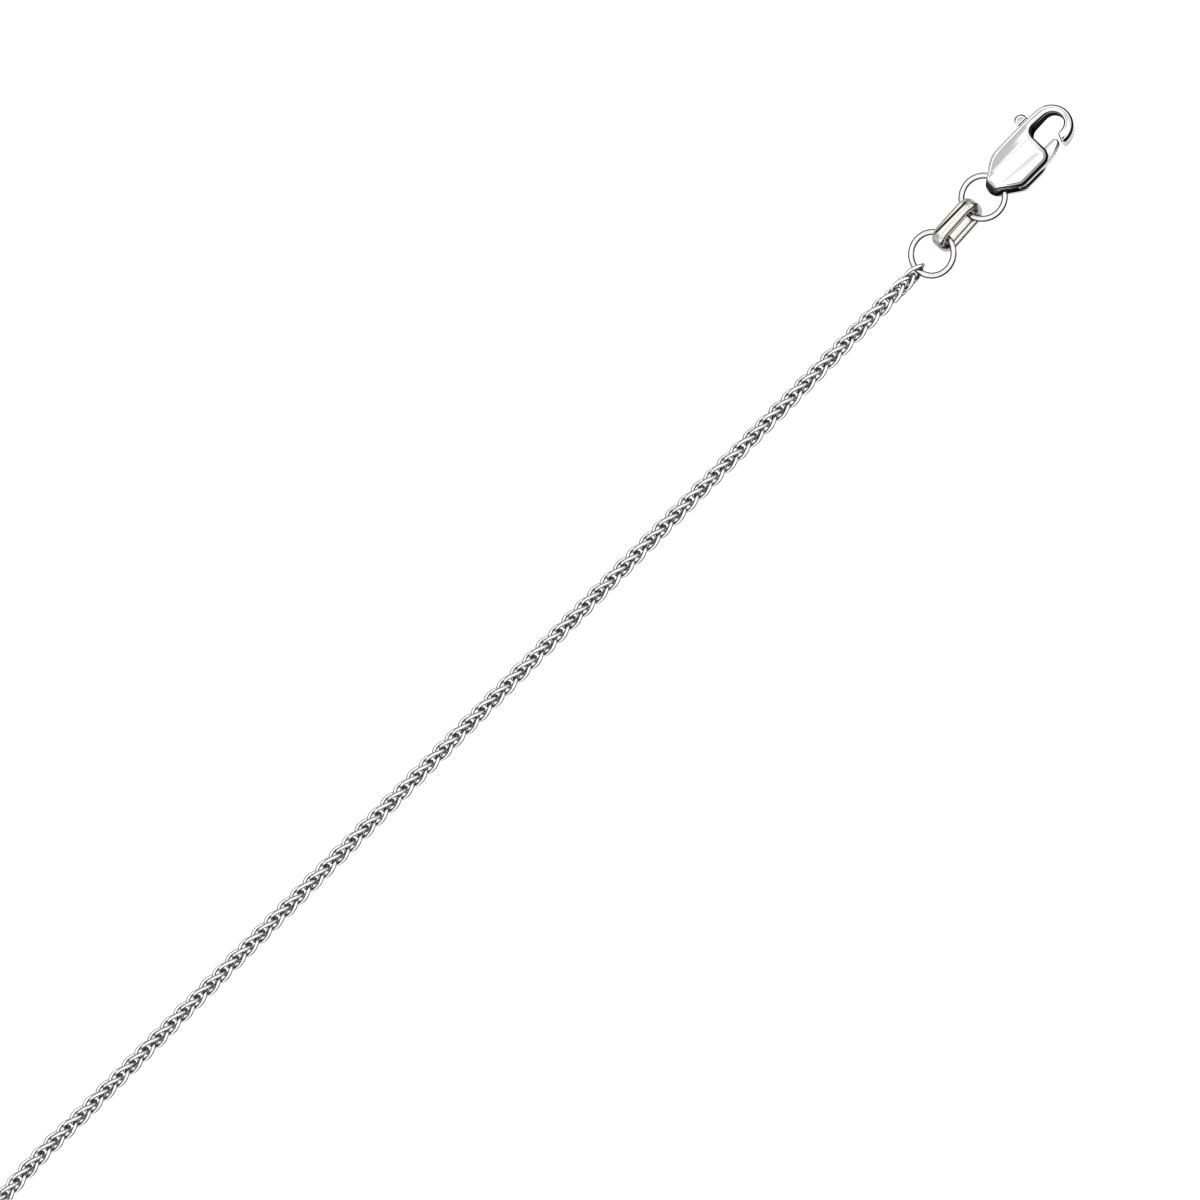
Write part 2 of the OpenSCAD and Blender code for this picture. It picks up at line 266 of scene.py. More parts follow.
@dataclass(frozen=True)
class MetalFinish:
    """A white metal surface, with painted shade and dark reflections mixed over it.

    Attributes:
        name: The material's name.
        bright: The metal's colour.
        painted_dark: Colour of its painted shade and dark reflections.
        roughness: Average roughness.
        wear: How far the roughness varies.
        cloud: Scale of the wear, in patterns a metre.
        dim: Share of its colour that a worn place tends to.
        dimming: How far a worn place tends to it.
        grain: Scale of the fine scratches, in patterns a metre.
        grain_height: Height of the scratches.
        grain_strength: How strongly the scratches show.
        uneven: How far the painted shade varies.
        line: A painted dark line that darkens it in place of the mesh's attribute of painted shade.
    """

    name: str
    bright: tuple[float, float, float] = (0.6, 0.6, 0.605)
    # Colour of the painted shade and dark reflections.
    painted_dark: tuple[float, float, float] = (0.012, 0.012, 0.013)
    roughness: float = 0.07
    wear: float = 0.05
    cloud: float = 500.0
    dim: float = 0.6
    dimming: float = 0.08
    grain: float = 2500.0
    grain_height: float = 0.002
    grain_strength: float = 0.6
    uneven: float = 0.2
    line: PaintedDarkLine | None = None

    def _darkness(self, graph: Graph, place: bpy.types.NodeSocket) -> Value:
        """How dark the painted shade and dark reflections make the surface at a place.

        Args:
            graph: The material's graph.
            place: The place, in metres.

        Returns:
            A number from 0 to 1 or more.
        """
        if self.line:
            return self.line.share(graph, place)
        return graph.number(graph.node("ShaderNodeAttribute", {"attribute_name": PAINTED_SHADE}), "Fac")

    def make(self) -> bpy.types.Material:
        """Builds the material.

        Returns:
            The material.
        """
        material = bpy.data.materials.new(self.name)
        material.use_nodes = True
        graph = Graph(material.node_tree)
        place = graph.node("ShaderNodeTexCoord").outputs["Object"]
        cloud = graph.noise(place, self.cloud, detail=3.0)
        scratch = graph.noise(place, self.grain, detail=4.0)
        colour = graph.node(
            "ShaderNodeMix",
            {"data_type": "RGBA"},
            {
                0: ((cloud - 0.5) * self.dimming).clamped(),
                6: (*self.bright, 1.0),
                7: (*(self.dim * part for part in self.bright), 1.0),
            },
        )
        bump = graph.node(
            "ShaderNodeBump",
            {},
            {
                "Strength": self.grain_strength,
                "Distance": self.grain_height * MM,
                "Height": scratch,
            },
        )
        metal = graph.node(
            "ShaderNodeBsdfPrincipled",
            {},
            {
                "Base Color": colour.outputs[2],
                "Metallic": 1.0,
                "Roughness": (cloud * self.wear + (self.roughness - self.wear / 2)).clamped(),
                "Normal": bump.outputs[0],
            },
        )
        # Painted shade and dark reflections: a dull dark surface mixed over the metal where the
        # darkness says.
        painted_dark = graph.node(
            "ShaderNodeBsdfPrincipled",
            {},
            {
                "Base Color": (*self.painted_dark, 1.0),
                "Roughness": 0.6,
                "Specular IOR Level": 0.1,
            },
        )
        dark = self._darkness(graph, place)
        surface = graph.node(
            "ShaderNodeMixShader",
            {},
            {
                0: (dark + dark * (cloud - 0.5) * self.uneven).clamped(),
                1: metal.outputs[0],
                2: painted_dark.outputs[0],
            },
        )
        graph.node("ShaderNodeOutputMaterial", {}, {"Surface": surface.outputs[0]})
        return material


@dataclass(frozen=True)
class FloorFinish:
    """The plain white surface under the necklace."""

    name: str = "studio_floor"
    white: float = 0.2
    glow: float = 0.9

    def make(self) -> bpy.types.Material:
        """Builds the material.

        Returns:
            The material.
        """
        material = bpy.data.materials.new(self.name)
        material.use_nodes = True
        graph = Graph(material.node_tree)
        shader = graph.node(
            "ShaderNodeBsdfPrincipled",
            {},
            {
                "Base Color": (self.white,) * 3 + (1.0,),
                "Roughness": 0.9,
                "Specular IOR Level": 0.0,
                "Emission Color": (1.0, 1.0, 1.0, 1.0),
                "Emission Strength": self.glow,
            },
        )
        graph.node("ShaderNodeOutputMaterial", {}, {"Surface": shader.outputs[0]})
        return material


def stood(name: str, shape: bmesh.types.BMesh) -> bpy.types.Object:
    """Stands a shape in the scene.

    Args:
        name: The object's and its mesh's name.
        shape: The shape, in metres. It is freed.

    Returns:
        The object.
    """
    mesh = bpy.data.meshes.new(name)
    shape.to_mesh(mesh)
    shape.free()
    made = bpy.data.objects.new(name, mesh)
    bpy.context.scene.collection.objects.link(made)
    return made


def settle(
    made: bpy.types.Object,
    finish: bpy.types.Material,
    node: str,
    body: Body = Body.NECKLACE,
) -> None:
    """Dresses a new piece, and says what it rides on and stands for.

    Args:
        made: The piece's object.
        finish: Its material.
        node: The CAD node that it replaces.
        body: The body that it rides on.
    """
    made.data.materials.append(finish)
    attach(made, body.value)
    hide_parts(node)
    LOG.info("%s rides on %s and replaces %s", made.name, body.value, node)


def dress(node: bpy.types.Object, finish: bpy.types.Material) -> None:
    """Gives a CAD node its material.

    Args:
        node: The node's object.
        finish: The material.
    """
    node.data.materials.clear()
    node.data.materials.append(finish)
    LOG.info("%s keeps its solid", node.name)


@dataclass
class Studio:
    """Camera, floor and light.

    Attributes:
        target: X and Y of the picture's middle.
        turn: The camera's turn about Z, in degrees.
        frame_width: Width of the surface in the picture.
        lens: Focal length.
        sensor: Width of the sensor.
        clip: The nearest and the farthest that the camera sees.
        floor_half: Half the floor's width.
        sky: Place and grey of the dome's bands, from its foot to its top.
        sky_tilt: How far the dome's top leans to the run's far side, in degrees.
        end_light: How much farther up the dome's two ends on X read.
        sky_strength: The dome's brightness.
        contrast: The view's gamma.
    """

    target: tuple[float, float] = (13.65, 56.5)
    turn: float = -45.3
    frame_width: float = 98.4
    lens: float = 200.0
    sensor: float = 36.0
    clip: tuple[float, float] = (10.0, 100000.0)
    floor_half: float = 700.0
    sky: tuple[tuple[float, float], ...] = (
        (0.0, 0.0),
        (0.28, 0.0),
        (0.38, 0.4),
        (0.48, 0.9),
        (0.66, 0.9),
        (0.75, 0.46),
        (0.85, 0.5),
        (0.9, 0.95),
        (0.92, 0.95),
        (0.94, 0.58),
        (0.96, 0.62),
        (0.975, 0.95),
    )
    sky_tilt: float = 12.0
    end_light: float = 0.28
    sky_strength: float = 2.4
    contrast: float = 0.6

    def build(self) -> None:
        """Makes the camera, the floor and the light."""
        self._camera()
        self._floor()
        self._sky()
        view = bpy.context.scene.view_settings
        view.view_transform = "Standard"
        view.gamma = self.contrast

    def _camera(self) -> None:
        """Looks straight down at the clasp's end of the chain."""
        data = bpy.data.cameras.new("photo_camera")
        data.type = "PERSP"
        data.lens = self.lens
        data.sensor_width = self.sensor
        data.clip_start, data.clip_end = (distance * MM for distance in self.clip)
        camera = bpy.data.objects.new("photo_camera", data)
        height = self.frame_width * self.lens / self.sensor
        camera.location = Vector((*self.target, height)) * MM
        camera.rotation_euler = (0.0, 0.0, math.radians(self.turn))
        bpy.context.scene.collection.objects.link(camera)
        bpy.context.scene.camera = camera

    def _floor(self) -> None:
        """Lays the white surface at height zero."""
        shape = bmesh.new()
        bmesh.ops.create_grid(
            shape, x_segments=1, y_segments=1, size=self.floor_half * MM
        )
        floor = stood("studio_floor", shape)
        floor.data.materials.append(FloorFinish().make())

    def _sky(self) -> None:
        """Lights the scene from a banded white dome that leans to the run's far
        side, reads as higher towards its two ends on X, and is dark below.
        """
        world = bpy.data.worlds.new("studio")
        world.use_nodes = True
        bpy.context.scene.world = world
        graph = Graph(world.node_tree)
        way = graph.node("ShaderNodeTexCoord").outputs["Generated"]
        tilt = math.radians(self.sky_tilt)
        height = graph.node(
            "ShaderNodeVectorMath",
            {"operation": "DOT_PRODUCT"},
            {0: way, 1: (0.0, math.sin(tilt), math.cos(tilt))},
        )
        along = graph.number(graph.node("ShaderNodeSeparateXYZ", {}, {0: way}), "X")
        band = graph.number(height, "Value") + along * along * self.end_light
        ramp = graph.node("ShaderNodeValToRGB", {"stops": self.sky}, {0: band.clamped()})
        dome = graph.node(
            "ShaderNodeBackground",
            {},
            {"Color": ramp.outputs[0], "Strength": self.sky_strength},
        )
        graph.node("ShaderNodeOutputWorld", {}, {"Surface": dome.outputs[0]})


@dataclass
class Route:
    """The way that the chain takes over the surface, as in the part's source.

    Attributes:
        start_x: X of its start, next to the clasp's end.
        run_y: Y of the straight run.
        loop_w: Width of the loop.
        loop_depth: Depth of the loop, behind the run.
        shares: The route's points, as shares of half the width and of the depth.
        steps: Number of steps between two of them.
        points: The curve's points.
        travelled: How far along the curve each of its points lies.
    """

    start_x: float = 50.6581
    run_y: float = 57.0
    loop_w: float = 164.0
    loop_depth: float = 116.7
    shares: tuple[tuple[float, float], ...] = (
        (-0.549, 0),
        (-0.646, 0),
        (-0.744, 0.009),
        (-0.848, 0.047),
        (-0.939, 0.129),
        (-1, 0.266),
        (-0.988, 0.454),
        (-0.878, 0.651),
        (-0.683, 0.827),
        (-0.378, 0.955),
        (-0.037, 1),
        (0.317, 0.964),
        (0.634, 0.84),
        (0.872, 0.643),
        (0.982, 0.437),
        (1, 0.266),
        (0.988, 0.12),
    )
    steps: int = 64
    points: list[Vector] = field(default_factory=list)
    travelled: list[float] = field(default_factory=list)

    def __post_init__(self) -> None:
        """Works out the curve's points and how far along each lies."""
        corners = [Vector((self.start_x, self.run_y))]
        for across, down in self.shares:
            corners.append(
                Vector((across * self.loop_w / 2, self.run_y - down * self.loop_depth))
            )
        last = len(corners) - 1
        ways = [
            (corners[min(index + 1, last)] - corners[max(index - 1, 0)]).normalized()
            for index in range(last + 1)
        ]
        for index in range(last):
            start, end = corners[index], corners[index + 1]
            chord = (end - start).length
            for step in range(self.steps):
                t = step / self.steps
                self.points.append(
                    (2 * t**3 - 3 * t**2 + 1) * start
                    + (t**3 - 2 * t**2 + t) * chord * ways[index]
                    + (3 * t**2 - 2 * t**3) * end
                    + (t**3 - t**2) * chord * ways[index + 1]
                )
        self.points.append(corners[last])
        self.travelled = [0.0]
        for start, end in zip(self.points, self.points[1:]):
            self.travelled.append(self.travelled[-1] + (end - start).length)

    @property
    def length(self) -> float:
        """Length of the route."""
        return self.travelled[-1]

    def at(self, distance: float) -> tuple[Vector, Vector]:
        """Finds a place on the route, or on its ends' straight lines.

        Args:
            distance: How far along, from the clasp's end.

        Returns:
            The point, and the unit direction of travel there.
        """
        low, high = 0, len(self.points) - 2
        while low < high:
            middle = (low + high + 1) // 2
            if self.travelled[middle] <= distance:
                low = middle
            else:
                high = middle - 1
        start = self.points[low]
        way = (self.points[low + 1] - start).normalized()
        return start + way * (distance - self.travelled[low]), way


def steepness(rise: float, start: float) -> float:
    """How much of a wire's side shows at a point, for the painted dark reflection on its edges.

    Args:
        rise: Upward part of the point's normal.
        start: The upward part under which the side begins.

    Returns:
        0 on the top and the underside, and 1 on the sides.
    """
    return min(max((start - abs(rise)) / SIDE_FADE, 0.0), 1.0)


def wire_ring(middle: float, thick: float, sides: int, steps: int) -> bmesh.types.BMesh:
    """Spins a wire's section into a ring about Z.

    Args:
        middle: Radius of the wire's middle line.
        thick: Radius of the wire.
        sides: Number of sides of a section.
        steps: Number of sections.

    Returns:
        The ring.
    """
    shape = bmesh.new()
    section = bmesh.ops.create_circle(
        shape,
        segments=sides,
        radius=thick,
        matrix=Matrix.Translation((middle, 0, 0)) @ Matrix.Rotation(math.pi / 2, 4, "X"),
    )
    bmesh.ops.spin(
        shape,
        geom=section["verts"] + shape.edges[:],
        axis=(0, 0, 1),
        cent=(0, 0, 0),
        angle=math.tau,
        steps=steps,
        use_merge=True,
    )
    return shape


@dataclass
class PlaitedLink:
    """One twisted link. Its top end arches over the link two places before it,
    front to back, and its bottom end runs side to side.

    Attributes:
        wire: Diameter of the wire.
        reach: Half the width of the loop that the wire's middle line makes.
        length: Length of that loop.
        half_twist: Half the turn from one end to the other, in degrees.
        twist_bend: How much quicker the twist is near the ends.
        flatten: The loop's depth as a share of its width.
        ring_steps: Number of sections round the loop.
        wire_steps: Number of sides of a section.
        swell: Widens a section, because smoothing narrows it.
        leg_swell: How much thicker the legs are than the ends.
        bluntness: Power that fills out the ends; at 1 they are round.
        side_start: Where the sides begin, as for steepness.
        painted_side_shade: How dark the painted dark reflection on the sides is.
        painted_inner_shade: How dark the painted shade in the middle of the chain is.
        inner_fade: How fast that painted shade fades towards the outside.
    """

    wire: float = 0.30
    reach: float = 0.61
    length: float = 1.857
    half_twist: float = 45.0
    twist_bend: float = 0.2
    flatten: float = 0.95
    ring_steps: int = 16
    wire_steps: int = 6
    swell: float = 1.15
    leg_swell: float = 0.2
    bluntness: float = 0.84
    side_start: float = 0.66
    painted_side_shade: float = 0.78
    painted_inner_shade: float = 0.35
    inner_fade: float = 1.2

    @property
    def size(self) -> float:
        """Length of the link with its wire."""
        return self.length + self.wire

    def _full(self, share: float) -> float:
        """Fills out a sine or cosine, so that the link's ends are blunter."""
        return math.copysign(abs(share) ** self.bluntness, share)

    def centre(self, angle: float, length: float) -> Vector:
        """A point on the middle line of the link's wire.

        Args:
            angle: Angle round the link, from the top's middle.
            length: Length of the middle line's loop.

        Returns:
            The point: X across to the right, Y to the front, Z up the chain.
        """
        down = (1 - self._full(math.cos(angle))) / 2
        level = 2 * down - 1
        out = self.reach * self._full(math.sin(angle))
        bend = (1 - self.twist_bend) * level + self.twist_bend * level**3
        turn = math.radians(self.half_twist + self.half_twist * bend)
        return Vector(
            (
                -out * math.sin(turn),
                out * math.cos(turn) * self.flatten,
                -down * length - self.wire / 2,
            )
        )

    def mesh(self, name: str, hand: Hand, cut_off: float = 0.0) -> bpy.types.Mesh:
        """Builds the link's mesh with its top's outside at the origin.

        Args:
            name: The mesh's name.
            hand: Which way the link is twisted.
            cut_off: How much shorter than usual it is.

        Returns:
            The mesh, in millimetres.
        """
        length = self.length - cut_off
        thick = self.wire / 2 * self.swell
        shape = wire_ring(1.0, thick, sides=self.wire_steps, steps=self.ring_steps)
        painted_shade = shape.verts.layers.float.new(PAINTED_SHADE)
        small = 0.001
        for vert in shape.verts:
            x, y, z = vert.co
            angle = math.atan2(y, x)
            middle = self.centre(angle, length)
            ahead, behind = self.centre(angle + small, length), self.centre(angle - small, length)
            along = (ahead - behind).normalized()
            out = Vector((middle.x, middle.y, middle.z + length / 2 + self.wire / 2))
            out = (out - out.dot(along) * along).normalized()
            swell = 1 + self.leg_swell * math.sin(angle) ** 2
            offset = out * (math.hypot(x, y) - 1) + along.cross(out) * z
            place = middle + offset * swell
            vert.co = Vector((place.x * hand.value, place.y, place.z))
            # Painted shade in the middle of the plait, where the wires shade each other, and painted
            # dark reflection on the wires' steep sides.
            depth = math.hypot(place.x, place.y) / (self.reach + self.wire / 2)
            inner = self.painted_inner_shade * max(0.0, 1.0 - depth * self.inner_fade)
            side = self.painted_side_shade * steepness(offset.y / offset.length, self.side_start)
            vert[painted_shade] = max(inner, side)
        bmesh.ops.recalc_face_normals(shape, faces=shape.faces)
        mesh = bpy.data.meshes.new(name)
        shape.to_mesh(mesh)
        shape.free()
        return mesh


@dataclass
class WheatChain:
    """The plaited chain, from the link in the jump ring to the link at its end.

    Attributes:
        route: The way that it takes.
        link: The link that it repeats.
        pitch: Length of the pattern, which is two links.
        first_tip: Where the pattern's first link starts along the route.
        end_room: What is left of the route after the last link.
        ring_end_height: Height of the line of the link in the jump ring.
        height: Height of the chain's line over the surface.
        sway: How far links are turned about the line to either side, in degrees.
        roll: How far the whole plait is turned about it, in degrees.
        roll_room: Length at each end over which that turn grows.
        run_end: Where the straight run's piece ends along the route.
        second_cut_off: How much shorter the second link from the ring is.
    """

    route: Route
    link: PlaitedLink
    pitch: float = 1.505
    first_tip: float = 0.218
    end_room: float = 0.21
    ring_end_height: float = 0.72
    height: float = 0.69
    sway: float = 4.5
    roll: float = -24.0
    roll_room: float = 3.5
    run_end: float = 105.0
    second_cut_off: float = 0.335

    def _frame(self, distance: float, sway: float, height: float) -> Matrix:
        """Places a link on the route.

        Args:
            distance: Where the outside of its top lies along the route.
            sway: How far it is turned about the chain's line, in degrees.
            height: Height of the chain's line over the surface.

        Returns:
            The link's place, in metres. It mirrors the link.
        """
        half = self.link.size / 2
        from_ends = min(
            distance - self.first_tip, self.route.length - self.link.size - distance
        )
        sway += self.roll * min(max(from_ends / self.roll_room, 0.0), 1.0)
        middle, way = self.route.at(distance + half)
        up = Vector((0, 0, 1))
        back = Vector((way.x, way.y, 0))
        right = up.cross(back)
        turn = Matrix((right, up, -back)).transposed().to_4x4()
        spot = Vector((middle.x, middle.y, height)) - back * half
        place = Matrix.Translation(spot) @ turn @ Matrix.Rotation(math.radians(sway), 4, "Z")
        return Matrix.Scale(MM, 4) @ place

    def _stretch(self, tip: float) -> str:
        """The name of the piece that a link belongs to.

        Args:
            tip: Where the outside of its top lies along the route.

        Returns:
            The piece's name.
        """
        if tip < self.run_end:
            return "plaited_run"
        if tip < (self.run_end + self.route.length) / 2:
            return "plaited_way_round_a"
        return "plaited_way_round_b"

    @staticmethod
    def _joined(
        name: str, links: Iterable[tuple[bpy.types.Mesh, Matrix]]
    ) -> bpy.types.Object:
        """Joins placed copies of links into one smoothed piece.

        Args:
            name: The piece's name.
            links: Mesh and place of each link.

        Returns:
            The piece's object.
        """
        shape = bmesh.new()
        for mesh, place in links:
            start = len(shape.verts)
            shape.from_mesh(mesh)
            shape.verts.ensure_lookup_table()
            bmesh.ops.transform(shape, matrix=place, verts=shape.verts[start:])
        # The places mirror the links, which turns their faces inwards.
        bmesh.ops.reverse_faces(shape, faces=shape.faces)
        for face in shape.faces:
            face.smooth = True
        made = stood(name, shape)
        smooth = made.modifiers.new("smooth", "SUBSURF")
        smooth.levels = 1
        smooth.render_levels = 1
        return made

    def build(self, finish: bpy.types.Material) -> None:
        """Makes the straight run, the way round and the link in the jump ring.

        Args:
            finish: The links' material.
        """
        room = self.route.length - self.first_tip - self.end_room - self.link.size
        last = round(room / (self.pitch / 2))
        half_pitch = room / last
        left = self.link.mesh("link_left", Hand.LEFT)
        right = self.link.mesh("link_right", Hand.RIGHT)
        second = self.link.mesh("link_second", Hand.RIGHT, self.second_cut_off)
        runs: dict[str, list[tuple[bpy.types.Mesh, Matrix]]] = {}
        for index in range(-1, last + 1):
            tip = self.first_tip + index * half_pitch
            sway = self.sway if (index + 2) // 2 % 2 else -self.sway
            mesh = right if index % 2 else left
            if index == -1:
                mesh = second
                tip += self.second_cut_off
            place = self._frame(tip, sway, self.height)
            runs.setdefault(self._stretch(tip), []).append((mesh, place))
        for name, links in runs.items():
            settle(self._joined(name, links), finish, "wheat_chain")
            LOG.info("%s has %d links", name, len(links))
        place = self._frame(self.first_tip - self.pitch, -self.sway, self.ring_end_height)
        ring_end = self._joined("ring_end_link", [(left, place)])
        settle(ring_end, finish, "front_end_link")
        for mesh in (left, right, second):
            bpy.data.meshes.remove(mesh)


@dataclass(frozen=True)
class Arc:
    """A stretch of an outline on a circle, or a corner if the radius is zero.

    Attributes:
        x: X of the circle's middle.
        y: Y of the circle's middle.
        radius: The circle's radius.
        start: Where it starts round the circle, in degrees.
        end: Where it ends round the circle, in degrees.
        roll: Width of its rolled edge.
        drop: Height of its rolled edge.
        shade: How dark the painted shade at the edge's foot is; over 1, it reaches higher.
    """

    x: float
    y: float
    radius: float = 0.0
    start: float = 0.0
    end: float = 0.0
    roll: float = 0.3
    drop: float = 0.5
    shade: float = 0.0

    def points(self) -> list[Vector]:
        """Works out the stretch's points.

        Returns:
            The points, in order.
        """
        steps = math.ceil(abs(self.end - self.start) / ARC_STEP)
        made = []
        for step in range(steps + 1):
            turn = math.radians(self.start + (self.end - self.start) * step / max(steps, 1))
            made.append(
                Vector((self.x + self.radius * math.cos(turn), self.y + self.radius * math.sin(turn)))
            )
        return made


class Outline:
    """A closed outline, seen from above, whose edges roll over to its sides.

    Attributes:
        same_point: Distance under which two points are one.
        least_turn: Keeps the step inwards at a narrow corner short.
        roll_steps: Number of bands in a rolled edge.
        underside_shade_height: Height up to which the painted shade of the underside reaches.
        shade_reach: Share of a rolled edge that the painted shade at its foot takes.
    """

    same_point = 0.01
    least_turn = 0.5
    roll_steps = 6
    underside_shade_height = 0.03
    shade_reach = 0.4

    def __init__(self, arcs: Sequence[Arc]) -> None:
        """Works out the outline's points and the way inwards at each.

        Args:
            arcs: Its stretches, anticlockwise.
        """
        self.points: list[Vector] = []
        self.edges: list[Arc] = []
        for arc in arcs:
            for point in arc.points():
                if self.points and (point - self.points[-1]).length < self.same_point:
                    continue
                self.points.append(point)
                self.edges.append(arc)
        self.inward = [self._inward(index) for index in range(len(self.points))]

    def _inward(self, index: int) -> Vector:
        """Works out the way inwards at a point.

        Args:
            index: The point's number.

        Returns:
            The step that moves both of its sides in by one.
        """
        before = (self.points[index] - self.points[index - 1]).normalized()
        after = (self.points[(index + 1) % len(self.points)] - self.points[index]).normalized()
        sides = [Vector((-way.y, way.x)) for way in (before, after)]
        middle = (sides[0] + sides[1]).normalized()
        return middle / max(middle.dot(sides[0]), self.least_turn)

    def solid(
        self, low: float, high: float, rolled: bool = False, painted_underside_shade: float = 0.0
    ) -> bmesh.types.BMesh:
        """Stands the outline up into a solid, with painted shade at its underside and at the foot of
        its rolled edges.

        Args:
            low: Height of its flat underside.
            high: Height of its top.
            rolled: Whether the top's edge rolls over.
            painted_underside_shade: How dark the painted shade on its underside is.

        Returns:
            The closed shape.
        """
        shape = bmesh.new()
        painted_shade = shape.verts.layers.float.new(PAINTED_SHADE)
        spot = shape.verts.layers.int.new("spot")
        bmesh.ops.create_circle(shape, cap_ends=True, segments=len(self.points), radius=1)
        shape.verts.ensure_lookup_table()
        shape.faces.ensure_lookup_table()
        for index, vert in enumerate(shape.verts):
            vert.co = (*self.points[index], low)
            vert[spot] = index
            # Painted shade: the underside and the foot of each edge are painted dark as far as their
            # arcs say.
            vert[painted_shade] = min(max(painted_underside_shade, self.edges[index].shade), 1.0)
        face = shape.faces[0]
        # The step before the first makes the narrow band over the underside, within which the
        # underside's painted shade fades.
        for step in range(-1, self.roll_steps + 1 if rolled else 1):
            turn = math.pi / 2 * max(step, 0) / self.roll_steps
            old = face
            grown = bmesh.ops.extrude_face_region(shape, geom=[old])["geom"]
            face = next(item for item in grown if isinstance(item, bmesh.types.BMFace))
            if step >= 0:
                bmesh.ops.delete(shape, geom=[old], context="FACES_ONLY")
            for vert in face.verts:
                index = vert[spot]
                edge = self.edges[index]
                inward = self.inward[index] * edge.roll * (1 - math.cos(turn))
                drop = edge.drop * (1 - math.sin(turn)) if rolled else 0.0
                level = high - drop if step >= 0 else low + self.underside_shade_height
                vert.co = (*(self.points[index] + inward), level)
                # The painted shade fades up the rolled edge from its foot.
                fade = ((1 - math.cos(turn)) / self.shade_reach) ** 2
                vert[painted_shade] = min(edge.shade * max(0.0, 1 - fade), 1.0)
        bmesh.ops.recalc_face_normals(shape, faces=shape.faces)
        return shape


def cut(shape: bmesh.types.BMesh, axis: int, places: Iterable[float]) -> None:
    """Cuts a shape's faces along planes.

    Args:
        shape: The shape.
        axis: The planes' axis: 0 for X, 1 for Y.
        places: Where each plane lies on it.
    """
    for place in places:
        point, normal = Vector((0, 0, 0)), Vector((0, 0, 0))
        point[axis] = place
        normal[axis] = 1
        bmesh.ops.bisect_plane(
            shape,
            geom=shape.verts[:] + shape.edges[:] + shape.faces[:],
            dist=1e-5,
            plane_co=point,
            plane_no=normal,
        )


def piece(
    name: str, shapes: Iterable[bmesh.types.BMesh], place: Matrix
) -> bpy.types.Object:
    """Joins shapes into one piece.

    Args:
        name: The piece's name.
        shapes: Its shapes, in millimetres. They are freed.
        place: Where they stand in the frame.

    Returns:
        The piece's object.
    """
    whole = bmesh.new()
    part = bpy.data.meshes.new("part")
    for shape in shapes:
        shape.to_mesh(part)
        shape.free()
        whole.from_mesh(part)
    bpy.data.meshes.remove(part)
    bmesh.ops.transform(whole, matrix=Matrix.Scale(MM, 4) @ place, verts=whole.verts)
    for face in whole.faces:
        face.smooth = True
    for edge in whole.edges:
        edge.smooth = edge.calc_face_angle(0.0) < math.radians(SHARP_ANGLE)
    return stood(name, whole)


def mirrored(shape: bmesh.types.BMesh) -> bmesh.types.BMesh:
    """Copies a shape onto the other side of its plan.

    Args:
        shape: The shape, which stays.

    Returns:
        The mirrored copy.
    """
    twin = shape.copy()
    for vert in twin.verts:
        vert.co.z = -vert.co.z
    bmesh.ops.reverse_faces(twin, faces=twin.faces)
    return twin


@dataclass(frozen=True)
class PlateEdge:
    """The edge of one of the clasp's plates along the gate's side.

    Attributes:
        roll: Width of the rolled edge.
        drop: Height of the rolled edge.
        corner: Radius of the shoulder.
        wall: How dark the painted dark reflection on the mouth's wall is.
        line: How dark the painted dark reflection at the foot of the rolled edge is.
    """

    roll: float
    drop: float
    corner: float
    wall: float
    line: float


